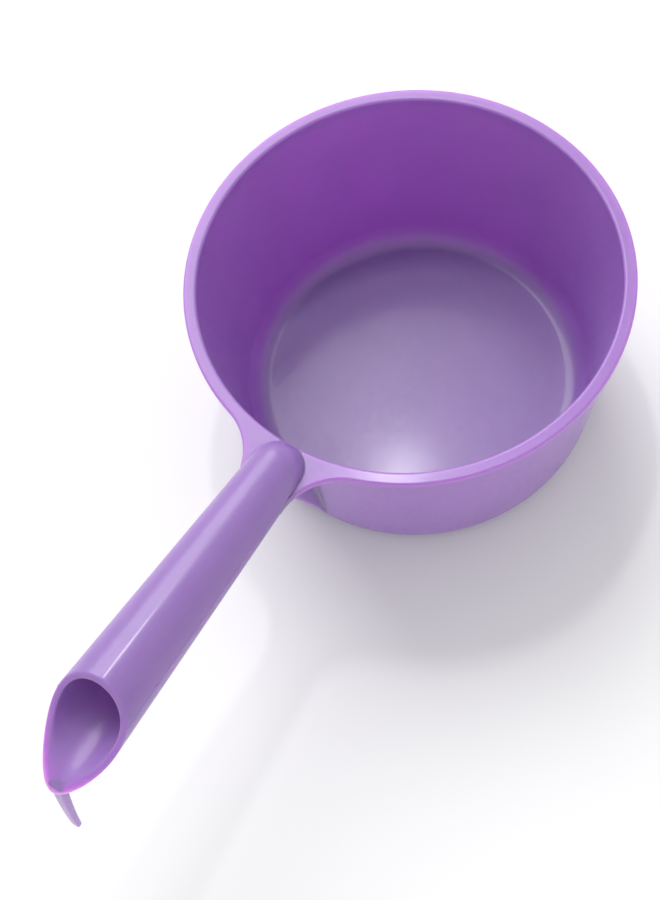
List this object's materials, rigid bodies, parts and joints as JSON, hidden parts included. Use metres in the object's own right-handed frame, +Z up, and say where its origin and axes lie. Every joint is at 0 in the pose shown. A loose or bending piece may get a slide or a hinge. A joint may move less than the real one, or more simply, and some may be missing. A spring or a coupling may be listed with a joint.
{
  "type": "feed scoop",
  "caption": "Deep round feed scoop with an outward lip, a flared web, and a tapered hollow handle with a slanted open end and a hanging hook.",
  "frame": {"origin": "middle of the underside of the bowl, on the surface that the scoop stands on", "axes": "+Z up out of the bowl, +X from the bowl to the open end of the handle"},
  "size_m": [0.3148, 0.17, 0.1149],
  "materials": {
    "lilac_plastic": "satin gloss injection-moulded polypropylene"
  },
  "bodies": {
    "root": {"bowl_floor": "lilac_plastic", "bowl_wall": "lilac_plastic", "rim_lip": "lilac_plastic", "web_left": "lilac_plastic", "web_right": "lilac_plastic", "handle_nose": "lilac_plastic", "handle_grip": "lilac_plastic", "root_gusset": "lilac_plastic", "hanging_hook": "lilac_plastic"}
  },
  "joints": []
}
